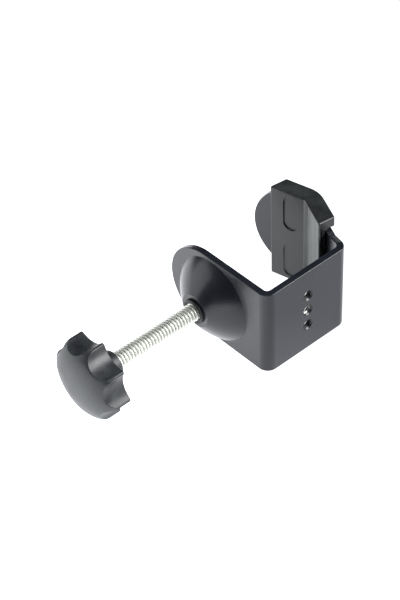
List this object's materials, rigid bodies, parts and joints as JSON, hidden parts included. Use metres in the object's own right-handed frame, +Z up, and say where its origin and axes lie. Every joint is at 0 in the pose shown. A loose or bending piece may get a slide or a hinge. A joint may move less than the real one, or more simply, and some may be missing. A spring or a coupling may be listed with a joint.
{
  "type": "screw clamp",
  "caption": "Bent steel screw clamp with a padded V jaw, a hand-turned spindle carrying a tilting pressure pad, and tapped accessory sockets in its back.",
  "frame": {"origin": "centre of the middle tapped socket, in the plane of the web's outer face", "axes": "+X along the spindle from the knob towards the V jaw, +Y from the web's outer face into the jaws' opening, +Z up along the web"},
  "size_m": [0.172, 0.0765, 0.063],
  "materials": {
    "black_paint": "satin black powder coat on pressed steel",
    "bush_black": "black oxide, oiled",
    "pad_plastic": "dark grey moulded plastic, fine texture",
    "bright_steel": "bright turned steel",
    "zinc_plate": "bright zinc plate",
    "knob_plastic": "black moulded plastic, worn satin",
    "nylon": "natural nylon"
  },
  "bodies": {
    "frame": {"bracket": "black_paint", "spindle_bush": "bush_black", "jaw_pad": "pad_plastic"},
    "thrust": {"thrust_washer": "bright_steel"},
    "screw": {"spindle": "zinc_plate", "ball_stud": "bright_steel", "knob": "knob_plastic", "knob_insert": "zinc_plate"},
    "seat": {"ball_seat": "nylon"},
    "pad": {"pressure_cup": "zinc_plate", "seat_ring": "bright_steel", "pressure_facing": "pad_plastic"}
  },
  "joints": [
    {"name": "spindle_travel", "type": "slide", "parent": "frame", "child": "thrust", "axis": [1, 0, 0], "range_m": [-0.001, 0.048]},
    {"name": "spindle_turn", "type": "hinge", "parent": "thrust", "child": "screw", "pos_m": [-0.03, 0.0415, 0], "axis": [1, 0, 0], "range_deg": [-180, 8640]},
    {"name": "pad_pitch", "type": "hinge", "parent": "thrust", "child": "seat", "pos_m": [-0.03, 0.0415, 0], "axis": [0, 1, 0], "range_deg": [-5, 5]},
    {"name": "pad_yaw", "type": "hinge", "parent": "seat", "child": "pad", "pos_m": [-0.03, 0.0415, 0], "axis": [0, 0, 1], "range_deg": [-5, 5]}
  ],
  "couplings": [
    {"joint": "spindle_travel", "follows": "spindle_turn", "m_per_rad": 0.00031831}
  ]
}
